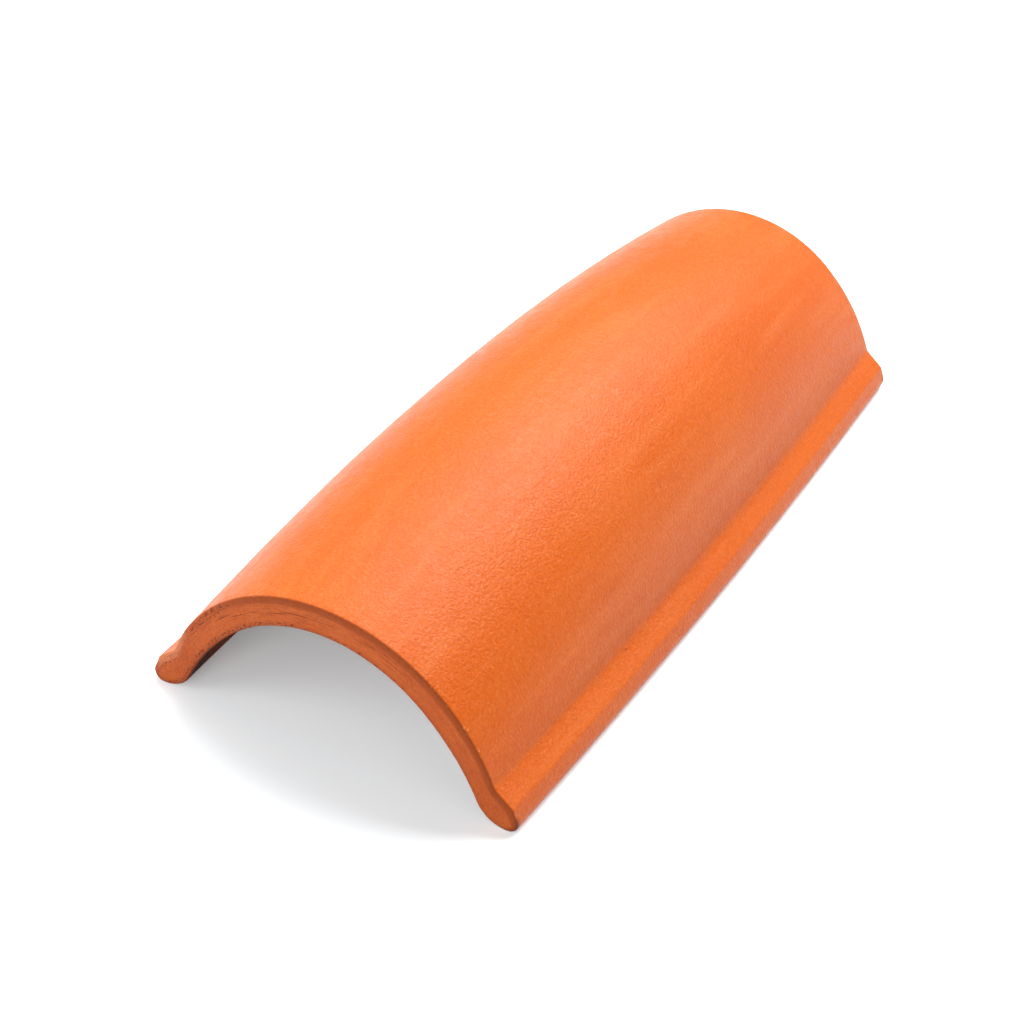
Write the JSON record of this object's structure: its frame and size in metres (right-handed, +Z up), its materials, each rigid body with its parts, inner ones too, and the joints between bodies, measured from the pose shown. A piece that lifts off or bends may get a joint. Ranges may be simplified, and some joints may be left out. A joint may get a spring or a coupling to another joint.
{
  "type": "curved clay roof tile",
  "caption": "Curved cover tile of fired orange clay: a tapered, slightly swollen arch on flanged feet, open underneath from end to end.",
  "frame": {"origin": "on the floor under the middle of the tile: centre of the bounding box's bottom", "axes": "+X across the tile, +Y along the tile from its lower end to its upper end, +Z up through the crown"},
  "size_m": [0.189, 0.4, 0.0959],
  "materials": {
    "fired_clay": "satin orange fired clay with a fine grain, unglazed"
  },
  "bodies": {
    "root": {"roof_tile": "fired_clay"}
  },
  "joints": []
}
